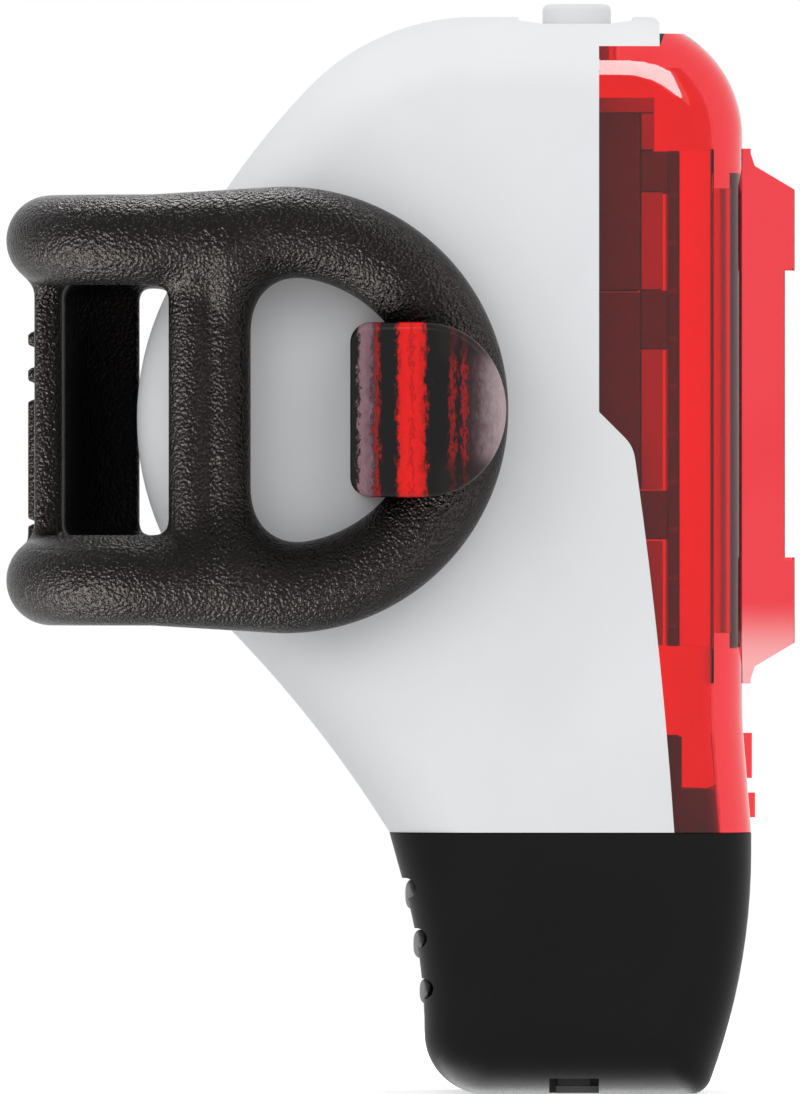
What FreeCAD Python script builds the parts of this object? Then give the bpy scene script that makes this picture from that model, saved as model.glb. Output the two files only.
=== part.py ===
import FreeCAD, Part

import math
import os

from FreeCAD import Vector

# Bike light that is strapped to an upright post. Millimetres. X runs from the post through
# the back of the light to its lens, Z runs up along the post, and Y runs across the light.
# The origin is the bottom of the saddle in the rounded back, where the post touches it.

# Casing, as one outline that the back shell and the lens cover share
body_width = 25.0
body_wall = 1.8
edge_radius = 4.0
body_top_z = 23.05
body_base_z = -24.7
body_front_x = 34.87
front_top_radius = 7.0
crown_x = 9.4
crown_drop = 4.2
drum_radius = 16.5
drum_centre_z = -0.5
drum_upper_angle = 25.0
drum_lower_angle = 45.0
flare_foot_x = 14.2
foot_spare = 6.0

# Saddle for the post, hollowed out of the rounded back
saddle_depth = 0.6
post_radius = 13.6

# Seam between the back shell and the lens cover
seam_back = 8.42
seam_bend_z = -0.1
seam_step = 1.5
seam_round = 0.6
seam_round_drop = 1.2
seam_foot_back = 4.02

# Top of the shell: lip over the lens cover and dish round the button
slab_thick = 1.75
slab_front_back = 4.87
lip_width = 18.0
lip_length = 1.5
lip_round = 0.55
dish_behind = 3.45
dish_depth = 0.42
dish_slope = 1.4
dish_ahead = 3.25
cover_top_drop = 1.0
cover_top_thick = 2.05

# Front of the lens cover
chin_bend_drop = 1.2
chin_bend_height = 2.0
chin_slope = 0.08
chin_bar_width = 11.0
chin_bar_drop = 2.9
chin_upper_bar = 2.65
chin_bar_gap = 0.85
chin_lower_bar = 1.45
chin_bar_stand = 0.32
chin_bar_base = 0.6

# Lens block on the cover
optic_width = 15.0
optic_top_z = 15.35
optic_bottom_z = -16.0
optic_flange = 0.5
optic_hump_stand = 3.1
optic_middle_stand = 2.53
optic_hump_width = 12.6
optic_hump_slope = 1.4
optic_hump_toe = 1.0
optic_upper_hump_z = 8.2
optic_lower_hump_z = -8.6
optic_round = 0.3
optic_toe_rise = 0.25
spigot_width = 10.0
spigot_height = 26.0
spigot_shoulder = 0.9
spigot_shoulder_depth = 0.5
spigot_reach = 0.15
gasket_depth = 0.6
gasket_gap = 0.04

# Button and the switch below it
button_length = 4.0
button_width = 9.0
button_back = 1.25
button_stand = 1.25
button_dish = 0.18
button_dish_margin = 0.5
button_round = 0.35
button_gap = 0.12
button_flange = 0.75
button_flange_side = 0.8
button_flange_gap = 0.1
button_travel = 0.4
plunger_radius = 0.9
plunger_offset = 0.5
plunger_gap = 0.12
plunger_fit = 0.04
switch_height = 1.25
switch_length = 3.4
switch_width = 6.0
switch_floor = 0.35

# Boards, battery and frames inside
inside_gap = 0.08
switch_board_thick = 0.85
switch_board_drop = 4.75
switch_board_behind = 1.0
frame_side_gap = 0.9
board_side_gap = 0.4
link_thick = 0.75
link_height = 2.25
chassis_gap = 0.1
chassis_depth = 4.95
chassis_split_z = 7.0
chassis_foot = 1.5
chassis_wall = 1.2
main_board_thick = 0.8
main_board_foot_gap = 0.1
main_board_top_gap = 0.85
chip_thick = 0.8
upper_chip_height = 4.0
middle_chip_height = 6.0
lower_chip_height = 3.0
chip_pitch = 8.0
chip_top_z = 10.0
battery_thick = 10.2
battery_side_gap = 1.4
battery_height = 27.0
battery_centre_z = -0.5
battery_round = 2.0
lead_radius = 0.45
lead_spacing = 5.0
lead_rise = 1.8
lead_bend = 1.0
lead_inset = 3.0
block_gap = 0.05
driver_thick = 1.5
carrier_thick = 1.25
upper_driver = 2.4
upper_carrier = 5.75
middle_driver = 3.45
middle_carrier = 8.25
lower_driver = 2.95
lower_carrier = 6.2
led_board_thick = 0.6
led_board_side_gap = 1.7
led_count = 5
led_pitch = 5.4
led_size = 2.2
led_thick = 0.6
led_dome_radius = 0.75
reflector_front_gap = 0.12
reflector_height = 29.0
reflector_depth = 1.77
reflector_side_gap = 1.7
reflector_throat = 1.7
reflector_mouth = 2.45

# Collar and plug at the foot, and the cap over them
collar_height = 2.5
collar_gap = 0.1
collar_clip_height = 3.1
collar_clip_thick = 0.7
collar_clip_width = 1.2
collar_clip_back = 4.27
neck_back_x = 16.8
neck_front_back = 2.27
neck_width = 17.0
neck_depth = 3.0
neck_round = 2.0
neck_gap = 0.35
seal_height = 1.0
seal_groove = 0.5
seal_grip_gap = 0.05
plug_x = 25.0
plug_width = 12.0
plug_thick = 4.5
plug_sheet = 0.3
plug_reach = 13.6
plug_root = 1.6
plug_gap = 0.05
tongue_width = 11.0
tongue_thick = 1.9
tongue_side = 0.15
contact_count = 4
contact_pitch = 2.4
contact_width = 1.1
contact_thick = 0.12
contact_length = 7.0
contact_inset = 1.0

plug_end_gap = 0.5
cap_floor = 1.25
cap_top_gap = 0.05
cap_back_round = 3.6
cap_back_x = 16.25
cap_waist_x = 14.85
cap_waist_drop = 2.4
cap_front_straight = 1.1
cap_front_taper = 1.87
cap_front_rise = 0.85
cap_foot_radius = 1.2
cap_edge_radius = 4.0
cap_bore_gap = 0.45
notch_count = 3
notch_radius = 0.62
notch_drop = 3.3
notch_pitch = 2.94
notch_scoop = 0.85
notch_scoop_drop = 0.55
notch_scoop_inset = 0.45
cap_slot_length = 2.9
cap_slot_depth = 0.95
slot_insert_length = 1.9
slot_insert_thick = 0.45

# Rubber strap and the hooks that hold it
ring_x = 8.1
ring_radius = 10.4
strap_radius = 2.65
strap_gap = 0.35
rail_slant = 3.5
strap_back_x = -5.6
strap_corner = 6.0
bar_radius = 1.45
bar_inner_x = 4.65
bar_outer_x = 2.75
panel_thick = 1.65
panel_inset = 0.18
panel_far_angle = 80.0
loop_gap = 0.05
loop_cut_ahead = 0.2
grip_bar_stand = 0.4
grip_bar_width = 12.0
grip_bar_levels = ((4.6, 3.8), (2.5, 1.7), (0.6, -6.4), (-6.7, -7.6))
grip_bar_sink = 0.2

hook_height = 10.2
hook_back_x = 11.9
hook_nose_x = 16.3
hook_tip_x = 21.0
hook_corner = 1.2
hook_gap = 0.3
hook_lift_angle = 15.0
hook_lift_gap = 0.55
hook_thick = 1.75
hook_dome = 0.5
hook_edge_round = 0.45
hook_spigot_length = 2.4
hook_spigot_height = 6.0
hook_fit = 0.05
screw_head_radius = 2.0
screw_head_height = 0.9
screw_radius = 0.8
screw_fit = 0.02
screw_bite = 2.4
screw_slot = 0.5

# How far cutting shapes run past a face, a length larger than the light, and a hair's breadth
spare = 1.0
reach = 80.0
tiny = 0.001

half_width = body_width / 2
inner_half = half_width - body_wall
drum_centre_x = drum_radius - saddle_depth
strap_y = half_width + strap_gap + strap_radius

# Seam, top and chin, from the casing's front, top and lens block
seam_x = body_front_x - seam_back
seam_foot_x = body_front_x - seam_foot_back
slab_front_x = body_front_x - slab_front_back
slab_floor_z = body_top_z - slab_thick
cover_top_z = body_top_z - cover_top_drop
cover_ceiling_z = cover_top_z - cover_top_thick
button_x = seam_x - button_back
dish_start_x = button_x - dish_behind
dish_end_x = button_x + dish_ahead
chin_bend_z = optic_bottom_z - chin_bend_drop
upper_bar_top_z = optic_bottom_z - chin_bar_drop
lower_bar_top_z = upper_bar_top_z - chin_upper_bar - chin_bar_gap

# Inner pieces, stacked back from the front wall, down from the top and in from the sides
led_board_x = body_front_x - body_wall - reflector_front_gap - reflector_depth - inside_gap - led_board_thick
block_back_x = led_board_x - block_gap - driver_thick
chassis_front_x = block_back_x - chassis_gap
chassis_back_x = chassis_front_x - chassis_depth
switch_board_front_x = block_back_x + link_thick
switch_board_back_x = chassis_back_x - switch_board_behind
switch_board_top_z = body_top_z - switch_board_drop
switch_board_low_z = switch_board_top_z - switch_board_thick
main_board_top_z = switch_board_low_z - main_board_top_gap
main_board_bottom_z = body_base_z + collar_height + plug_root + main_board_foot_gap
chassis_bottom_z = main_board_bottom_z + chassis_foot
block_top_z = switch_board_low_z - link_height
inner_width = 2 * (inner_half - frame_side_gap)
board_width = 2 * (inner_half - board_side_gap)
battery_width = 2 * (inner_half - battery_side_gap)
led_board_width = 2 * (inner_half - led_board_side_gap)
reflector_width = 2 * (inner_half - reflector_side_gap)

# Collar and cap, down from the casing's base
collar_clip_top_z = body_base_z + collar_height + collar_clip_height
collar_clip_x = body_front_x - collar_clip_back
neck_front_x = body_front_x - neck_front_back
cap_front_x = body_front_x - cap_front_taper
cap_bore_depth = plug_reach + plug_end_gap
cap_base_z = body_base_z - cap_bore_depth - cap_floor
cap_front_z = cap_base_z + cap_front_rise
cap_waist_z = body_base_z - cap_waist_drop
notch_top_z = body_base_z - notch_drop


class Outline:
    """A line drawn in the X-Z plane, stretch by stretch, that keeps its heading at each arc."""

    def __init__(self, x, z, heading_x, heading_z):
        self.here = Vector(x, 0, z)
        self.heading = Vector(heading_x, 0, heading_z).normalize()
        self.edges = []

    def line(self, x, z):
        end = Vector(x, 0, z)
        self.edges.append(Part.LineSegment(self.here, end).toShape())
        self.heading = (end - self.here).normalize()
        self.here = end
        return self

    def ahead(self, length):
        end = self.here + self.heading * length
        return self.line(end.x, end.z)

    def arc(self, x, z):
        """An arc that leaves along the heading and ends at the point."""
        chord = Vector(x, 0, z) - self.here
        side = Vector(-self.heading.z, 0, self.heading.x)
        centre = self.here + side * (chord.Length ** 2 / (2 * chord.dot(side)))
        along = Vector(chord).normalize()
        after = along * (2 * self.heading.dot(along)) - self.heading
        return self.swing(centre, Vector(x, 0, z), after)

    def turn(self, radius, heading_x, heading_z):
        """An arc of the given radius that ends on the new heading."""
        after = Vector(heading_x, 0, heading_z).normalize()
        left = self.heading.x * after.z - self.heading.z * after.x > 0
        reach = radius if left else -radius
        centre = self.here + Vector(-self.heading.z, 0, self.heading.x) * reach
        end = centre - Vector(-after.z, 0, after.x) * reach
        return self.swing(centre, end, after)

    def swing(self, centre, end, after):
        middle = (self.here - centre) + (end - centre)
        through = centre + middle.normalize() * (end - centre).Length
        self.edges.append(Part.Arc(self.here, through, end).toShape())
        self.heading = after
        self.here = end
        return self

    def wire(self):
        return Part.Wire(Part.__sortEdges__(self.edges))


def slab(wire, width, middle_y=0.0):
    """The flat outline made solid, as wide as given across the light."""
    shape = Part.Face(wire).extrude(Vector(0, width, 0))
    shape.translate(Vector(0, middle_y - width / 2, 0))
    return shape


def box(x, y, z):
    """A box between the low and high ends given for each axis."""
    low = Vector(x[0], y[0], z[0])
    return Part.makeBox(x[1] - x[0], y[1] - y[0], z[1] - z[0], low)


def across(width):
    return (-width / 2, width / 2)


def rounded_box(x, y, z, radius):
    """A box whose four upright edges are rounded."""
    shape = box(x, y, z)
    upright = [edge for edge in shape.Edges if edge.BoundBox.ZLength > z[1] - z[0] - tiny]
    return shape.makeFillet(radius, upright)


def side_rims(shape, half, floor_z):
    """Edges round both side faces, without those along the floor."""
    rims = []
    for edge in shape.Edges:
        room = edge.BoundBox
        on_side = room.YLength < tiny and abs(abs(room.YMin) - half) < tiny
        if on_side and room.ZMax > floor_z + tiny:
            rims.append(edge)
    return rims


def mirrored(shape):
    """The same piece on the far side of the light."""
    return shape.mirror(Vector(0, 0, 0), Vector(0, 1, 0))


def chin_face_x(z):
    """Where the casing's front stands below the chin's bend."""
    return body_front_x + chin_slope * (chin_bend_z - chin_bend_height / 2 - z)


def body_wire():
    """Outline of the casing from the side, run out below its base."""
    upper = math.radians(drum_upper_angle)
    lower = math.radians(drum_lower_angle)
    top_of_drum = Vector(-math.cos(upper), 0, math.sin(upper)) * drum_radius
    foot_of_drum = Vector(-math.cos(lower), 0, -math.sin(lower)) * drum_radius
    centre = Vector(drum_centre_x, 0, drum_centre_z)
    start = centre + foot_of_drum
    back = Outline(start.x, start.z, -math.sin(lower), math.cos(lower))
    back.swing(centre, centre + top_of_drum, Vector(math.sin(upper), 0, math.cos(upper)))
    back.arc(crown_x, body_top_z - crown_drop)
    rise = body_top_z - back.here.z
    back.turn(rise / (1 - back.heading.x), 1, 0)
    back.line(body_front_x - front_top_radius, body_top_z)
    back.turn(front_top_radius, 0, -1)
    back.ahead(back.here.z - chin_bend_z)
    back.arc(body_front_x + chin_slope * chin_bend_height / 2, chin_bend_z - chin_bend_height)
    back.ahead(back.here.z - body_base_z + foot_spare)
    flare = Outline(start.x, start.z, math.sin(lower), -math.cos(lower))
    flare.arc(flare_foot_x, body_base_z)
    flare.ahead(foot_spare)
    back.line(flare.here.x, flare.here.z)
    back.edges = back.edges + flare.edges
    return back.wire()


def body_blank():
    wire = body_wire()
    blank = slab(wire, body_width)
    blank = blank.makeFillet(edge_radius, side_rims(blank, half_width, body_base_z - foot_spare / 2))
    return blank.cut(below(body_base_z))


def body_cavity():
    wire = body_wire().makeOffset2D(-body_wall)
    hollow = slab(wire, inner_half * 2)
    rims = side_rims(hollow, inner_half, body_base_z - foot_spare / 2)
    return hollow.makeFillet(edge_radius - body_wall, rims)


def level_slice(low_z, high_z):
    """Everything between two heights."""
    return box((-reach, reach), (-reach, reach), (low_z, high_z))


def below(z):
    return level_slice(z - reach, z)


def above(z):
    return level_slice(z, z + reach)


def seam_region():
    """Everything on the shell's side of the seam, with the slab that reaches over the cover."""
    seam = Outline(slab_front_x, slab_floor_z, -1, 0)
    seam.line(seam_x, slab_floor_z)
    seam.line(seam_x, seam_bend_z)
    seam.line(seam_x + seam_step, seam_bend_z - seam_step)
    seam.arc(seam_x + seam_step + seam_round, seam_bend_z - seam_step - seam_round_drop)
    seam.arc(seam_foot_x, body_base_z)
    seam.line(seam_foot_x, body_base_z - foot_spare)
    seam.line(-foot_spare, body_base_z - foot_spare)
    seam.line(-foot_spare, body_top_z + foot_spare)
    seam.line(slab_front_x, body_top_z + foot_spare)
    seam.line(slab_front_x, slab_floor_z)
    return slab(seam.wire(), body_width * 2)


def lip():
    """Tab at the front of the shell's top that holds the lens cover down."""
    end_x = slab_front_x + tiny
    shape = Outline(end_x - lip_length, slab_floor_z, 0, 1)
    shape.line(end_x - lip_length, body_top_z)
    shape.line(end_x - lip_round, body_top_z)
    shape.turn(lip_round, 0, -1)
    shape.line(end_x, slab_floor_z + lip_round)
    shape.turn(lip_round, -1, 0)
    shape.line(end_x - lip_length, slab_floor_z)
    return slab(shape.wire(), lip_width)


def dish_cut():
    """Hollow in the shell's top in which the button stands."""
    floor_z = body_top_z - dish_depth
    high_z = body_top_z + spare
    hollow = Outline(dish_start_x, high_z, 0, -1)
    hollow.line(dish_start_x, body_top_z - dish_depth / 2)
    hollow.line(dish_start_x + dish_slope, floor_z)
    hollow.line(dish_end_x - dish_slope, floor_z)
    hollow.line(dish_end_x, floor_z + dish_depth / 2)
    hollow.line(dish_end_x, high_z)
    hollow.line(dish_start_x, high_z)
    return slab(hollow.wire(), body_width * 2)


def pill(length, width, low_z, high_z):
    """Upright bar with rounded ends, centred on the button."""
    ends = (button_x - length / 2, button_x + length / 2)
    return rounded_box(ends, across(width), (low_z, high_z), length / 2 - tiny)


def button_floor_z():
    return body_top_z - body_wall - button_flange_gap - button_flange_side


def main_shell(blank, cavity):
    shell = blank.common(seam_region()).cut(cavity)
    shell = shell.fuse(lip()).cut(dish_cut())
    hole = pill(button_length + 2 * button_gap, button_width + 2 * button_gap,
                slab_floor_z - body_wall, body_top_z + spare)
    shell = shell.cut(hole)
    post = Part.makeCylinder(post_radius, 2 * reach, Vector(-post_radius, 0, -reach))
    shell = shell.cut(post)
    spigot = hook_spigot(hook_fit, half_width)
    shell = shell.cut(spigot).cut(mirrored(spigot))
    return shell.removeSplitter()


def lens_cover(blank, cavity):
    cover = blank.cut(seam_region()).cut(lip()).cut(above(cover_top_z))
    cover = cover.cut(cavity.common(below(cover_ceiling_z)))
    flange = pill(button_length + spare, button_width + 2 * button_flange + spare,
                  cover_ceiling_z - spare, body_top_z)
    cover = cover.cut(flange)
    cover = cover.fuse(chin_bar(upper_bar_top_z, chin_upper_bar))
    cover = cover.fuse(chin_bar(lower_bar_top_z, chin_lower_bar))
    narrow = across(spigot_width + 2 * gasket_gap)
    wide = across(spigot_width + 2 * spigot_shoulder + 2 * gasket_gap)
    seat_x = body_front_x - spigot_shoulder_depth - gasket_depth
    low = -spigot_height / 2 - gasket_gap
    cover = cover.cut(box((seat_x - body_wall, body_front_x + spare), narrow, (low, -low)))
    low = low - spigot_shoulder
    cover = cover.cut(box((seat_x, body_front_x + spare), wide, (low, -low)))
    return cover.removeSplitter()


def chin_bar(top_z, height):
    """Plain raised bar on the chin."""
    foot_z = top_z - height
    x = (body_front_x - chin_bar_base, chin_face_x(foot_z) + chin_bar_stand)
    return box(x, across(chin_bar_width), (foot_z, top_z))


def optic_block():
    """Lens block: a thin flange, two humps, a lower middle and a spigot through the cover."""
    base_x = body_front_x
    flange = box((base_x, base_x + optic_flange), across(optic_width), (optic_bottom_z, optic_top_z))
    hump_x = base_x + optic_hump_stand
    middle_x = base_x + optic_middle_stand
    toe_x = base_x + optic_flange
    rise = optic_toe_rise
    outline = Outline(base_x, optic_top_z - rise, 1, 0)
    outline.line(toe_x, optic_top_z - rise)
    outline.line(toe_x + rise, optic_top_z - optic_hump_toe)
    outline.line(hump_x, optic_top_z - optic_hump_toe - optic_hump_slope)
    outline.line(hump_x, optic_upper_hump_z)
    outline.line(middle_x, optic_upper_hump_z)
    outline.line(middle_x, optic_lower_hump_z)
    outline.line(hump_x, optic_lower_hump_z)
    outline.line(hump_x, optic_bottom_z + optic_hump_toe + optic_hump_slope)
    outline.line(toe_x + rise, optic_bottom_z + optic_hump_toe)
    outline.line(toe_x, optic_bottom_z + rise)
    outline.line(base_x, optic_bottom_z + rise)
    outline.line(base_x, optic_top_z - rise)
    humps = slab(outline.wire(), optic_hump_width)
    crest = []
    for edge in humps.Edges:
        room = edge.BoundBox
        if room.XMin > middle_x - tiny and room.YLength < tiny:
            crest.append(edge)
    humps = humps.makeFillet(optic_round, crest)
    tall = spigot_height / 2
    shoulder = spigot_shoulder - gasket_gap
    step_x = body_front_x - spigot_shoulder_depth
    end_x = body_front_x - body_wall - spigot_reach
    neck = box((end_x, base_x), across(spigot_width), (-tall, tall))
    wide = across(spigot_width + 2 * shoulder)
    step = box((step_x, base_x), wide, (-tall - shoulder, tall + shoulder))
    return flange.fuse([humps, neck, step]).removeSplitter()


def optic_gasket():
    """Flat ring round the lens block's spigot, in the cover's front wall."""
    back_x = body_front_x - spigot_shoulder_depth - gasket_depth + gasket_gap
    depth = (back_x, back_x + gasket_depth - 2 * gasket_gap)
    tall = spigot_height / 2 + spigot_shoulder - gasket_gap
    outer = box(depth, across(spigot_width + 2 * spigot_shoulder - 2 * gasket_gap), (-tall, tall))
    tall = spigot_height / 2 + gasket_gap
    return outer.cut(box(depth, across(spigot_width + 2 * gasket_gap), (-tall, tall)))


def power_button():
    top_z = body_top_z - dish_depth + button_stand
    low_z = button_floor_z()
    stem = pill(button_length, button_width, low_z, top_z)
    rim = [edge for edge in stem.Edges if edge.BoundBox.ZMin > top_z - tiny]
    stem = stem.makeFillet(button_round, rim)
    flange = pill(button_length, button_width + 2 * button_flange, low_z, low_z + button_flange_side)
    hollow = pill(button_length - 2 * button_dish_margin, button_width - 2 * button_dish_margin,
                  top_z - button_dish, top_z + spare)
    return stem.fuse(flange).cut(hollow).removeSplitter()


def switch_base_z():
    return switch_board_top_z + inside_gap


def switch_place():
    return button_x - plunger_offset


def switch_body():
    x = (switch_place() - switch_length / 2, switch_place() + switch_length / 2)
    top_z = switch_base_z() + switch_height
    case = box(x, across(switch_width), (switch_base_z(), top_z))
    start = Vector(switch_place(), 0, switch_base_z() + switch_floor)
    return case.cut(Part.makeCylinder(plunger_radius + plunger_fit, switch_height, start))


def switch_plunger():
    low_z = switch_base_z() + switch_floor + button_travel + inside_gap
    top_z = button_floor_z() - plunger_gap
    return Part.makeCylinder(plunger_radius, top_z - low_z, Vector(switch_place(), 0, low_z))


def switch_board():
    z = (switch_board_low_z, switch_board_top_z)
    return box((switch_board_back_x, switch_board_front_x), across(inner_width), z)


def board_link():
    """Pin strip between the switch board and the light board."""
    x = (switch_board_front_x - link_thick, switch_board_front_x)
    return box(x, across(inner_width), (block_top_z + inside_gap, switch_board_low_z - inside_gap))


def chassis_part(low_z, high_z):
    """Dark frame, open towards the main board."""
    x = (chassis_back_x, chassis_front_x)
    block = box(x, across(inner_width), (low_z, high_z))
    room_x = (chassis_back_x - spare, chassis_front_x - chassis_wall)
    room_z = (low_z + chassis_wall, high_z - chassis_wall)
    return block.cut(box(room_x, across(inner_width - 2 * chassis_wall), room_z))


def main_board_x():
    high = chassis_back_x - inside_gap
    return (high - main_board_thick, high)


def main_board():
    return box(main_board_x(), across(board_width), (main_board_bottom_z, main_board_top_z))


def board_chips():
    high_x = main_board_x()[0] - inside_gap
    chips = []
    for index, size in enumerate((upper_chip_height, middle_chip_height, lower_chip_height)):
        middle_z = chip_top_z - index * chip_pitch
        z = (middle_z - size / 2, middle_z + size / 2)
        chips.append(box((high_x - chip_thick, high_x), across(size), z))
    return Part.makeCompound(chips)


def battery_x():
    high = main_board_x()[0] - 2 * inside_gap - chip_thick - inside_gap
    return (high - battery_thick, high)


def battery_z():
    return (battery_centre_z - battery_height / 2, battery_centre_z + battery_height / 2)


def battery_cell():
    return rounded_box(battery_x(), across(battery_width), battery_z(), battery_round)


def battery_leads():
    """Two wires from the top of the cell to the main board."""
    start_x = battery_x()[1] - lead_inset
    start_z = battery_z()[1] + inside_gap
    end_x = main_board_x()[0] - inside_gap
    leads = []
    for side in (-1, 1):
        path = Outline(start_x, start_z, 0, 1)
        path.line(start_x, start_z + lead_rise - lead_bend)
        path.turn(lead_bend, 1, 0)
        path.line(end_x, path.here.z)
        round_end = Part.makeCircle(lead_radius, Vector(start_x, 0, start_z), Vector(0, 0, 1))
        lead = path.wire().makePipeShell([Part.Wire(round_end)], True, True)
        lead.translate(Vector(0, side * lead_spacing / 2, 0))
        leads.append(lead)
    return Part.makeCompound(leads)


def block_levels():
    """Heights of the joints between the driver and carrier blocks, from the top down."""
    levels = [block_top_z]
    for height in (upper_driver, upper_carrier, middle_driver, middle_carrier, lower_driver, lower_carrier):
        levels.append(levels[-1] - height)
    return levels


def block_strip(thickness, first):
    """Blocks in every other space between the levels, from the first one down."""
    levels = block_levels()
    blocks = []
    for index in range(first, len(levels) - 1, 2):
        z = (levels[index + 1] + inside_gap / 2, levels[index] - inside_gap / 2)
        blocks.append(box((block_back_x, block_back_x + thickness), across(inner_width), z))
    return Part.makeCompound(blocks)


def led_board():
    z = (block_levels()[-1], block_top_z)
    x = (led_board_x, led_board_x + led_board_thick)
    return box(x, across(led_board_width), z)


def led_middle_z():
    return (block_top_z + block_levels()[-1]) / 2


def led_heights():
    first = led_middle_z() + led_pitch * (led_count - 1) / 2
    return [first - index * led_pitch for index in range(led_count)]


def led_packages():
    low_x = led_board_x + led_board_thick + inside_gap
    packages = []
    for z in led_heights():
        body = box((low_x, low_x + led_thick), across(led_size), (z - led_size / 2, z + led_size / 2))
        dome = Part.makeSphere(led_dome_radius, Vector(low_x + led_thick, 0, z))
        dome = dome.cut(box((low_x - led_size, low_x + led_thick / 2), across(led_size * 2),
                            (z - led_size, z + led_size)))
        packages.append(body.fuse(dome))
    return Part.makeCompound(packages)


def reflector():
    """Bright block with a cone for each light."""
    x = (led_board_x + led_board_thick + inside_gap, body_front_x - body_wall - reflector_front_gap)
    middle = led_middle_z()
    z = (middle - reflector_height / 2, middle + reflector_height / 2)
    block = box(x, across(reflector_width), z)
    deep = x[1] - x[0]
    for height in led_heights():
        start = Vector(x[0], 0, height)
        cone = Part.makeCone(reflector_throat, reflector_mouth, deep, start, Vector(1, 0, 0))
        block = block.cut(cone)
    tall = spigot_height / 2 + inside_gap
    spigot = box((body_front_x - body_wall - spigot_reach - inside_gap, x[1]),
                 across(spigot_width + 2 * inside_gap), (-tall, tall))
    return block.cut(spigot)


def neck_block(grow, low_z, high_z):
    """Neck below the collar, made larger all round by the given amount."""
    x = (neck_back_x - grow, neck_front_x + grow)
    return rounded_box(x, across(neck_width + 2 * grow), (low_z, high_z), neck_round + grow)


def plug_hole(grow, low_z, high_z):
    x = (plug_x - plug_thick / 2 - grow, plug_x + plug_thick / 2 + grow)
    return box(x, across(plug_width + 2 * grow), (low_z, high_z))


def plug_collar(cavity):
    """Black base plate with the neck that carries the plug and the seal."""
    top_z = body_base_z + collar_height
    plate = cavity.common(level_slice(body_base_z, top_z))
    room = plate.BoundBox
    shrink = FreeCAD.Matrix()
    shrink.scale(1 - 2 * collar_gap / room.XLength, 1 - 2 * collar_gap / room.YLength, 1)
    plate.translate(Vector(-room.Center.x, 0, 0))
    plate = plate.transformGeometry(shrink)
    plate.translate(Vector(room.Center.x, 0, 0))
    neck = neck_block(0, body_base_z - neck_depth, body_base_z)
    groove = seal_ring(0)
    collar = plate.fuse(neck).cut(groove)
    clip_z = (top_z - tiny, collar_clip_top_z)
    clip_x = (collar_clip_x, collar_clip_x + collar_clip_thick)
    for side in (-1, 1):
        middle_y = side * (inner_half - collar_gap - collar_clip_width)
        y = (middle_y - collar_clip_width / 2, middle_y + collar_clip_width / 2)
        collar = collar.fuse(box(clip_x, y, clip_z))
    hole = plug_hole(plug_gap, body_base_z - neck_depth - spare, top_z + spare)
    return collar.cut(hole).removeSplitter()


def seal_ring(stand):
    """Ring in the neck's groove, standing out of it by the given amount."""
    middle_z = body_base_z - neck_depth / 2
    low_z = middle_z - seal_height / 2
    high_z = middle_z + seal_height / 2
    return neck_block(stand, low_z, high_z).cut(neck_block(-seal_groove, low_z, high_z))


def plug_z():
    return (body_base_z - plug_reach, body_base_z + collar_height + plug_root)


def usb_plug_shell():
    outer = plug_hole(0, *plug_z())
    room = plug_hole(-plug_sheet, *plug_z())
    return outer.cut(room)


def tongue_x():
    """The tongue lies against the front half of the plug."""
    high = plug_x + plug_thick / 2 - plug_sheet - tongue_side
    return (high - tongue_thick, high)


def usb_tongue():
    low_z, high_z = plug_z()
    tongue = box(tongue_x(), across(tongue_width), (low_z + contact_inset / 2, high_z))
    x = (plug_x - plug_thick / 2 + plug_sheet + inside_gap / 2, tongue_x()[1])
    root = box(x, across(tongue_width), (body_base_z, high_z))
    return tongue.fuse(root).removeSplitter()


def usb_contacts():
    """Flat gilt strips on the tongue."""
    low_z = plug_z()[0] + contact_inset
    x = (tongue_x()[0] - contact_thick, tongue_x()[0])
    strips = []
    for index in range(contact_count):
        middle = (index - (contact_count - 1) / 2) * contact_pitch
        y = (middle - contact_width / 2, middle + contact_width / 2)
        strips.append(box(x, y, (low_z, low_z + contact_length)))
    return Part.makeCompound(strips)


def cap_wire():
    """Outline of the cap from the side."""
    top_z = body_base_z - cap_top_gap
    front_top_x = chin_face_x(body_base_z)
    side = Outline(flare_foot_x, top_z, 1, 0)
    side.line(front_top_x, top_z)
    side.line(front_top_x, top_z - cap_front_straight)
    side.arc(cap_front_x, cap_front_z)
    side.arc(cap_front_x - cap_foot_radius, cap_base_z)
    side.line(cap_back_x + cap_back_round, cap_base_z)
    side.turn(cap_back_round, -tiny, 1)
    side.arc(cap_waist_x, cap_waist_z)
    side.line(flare_foot_x, top_z)
    return side.wire()


def notch_places():
    """Middle of each finger notch, on the back edge of the cap."""
    places = []
    back = cap_wire()
    for index in range(notch_count):
        z = notch_top_z - index * notch_pitch
        level = Part.LineSegment(Vector(0, 0, z), Vector(plug_x, 0, z)).toShape()
        hit = level.distToShape(back)[1][0][0]
        places.append((hit.x, z))
    return places


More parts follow.
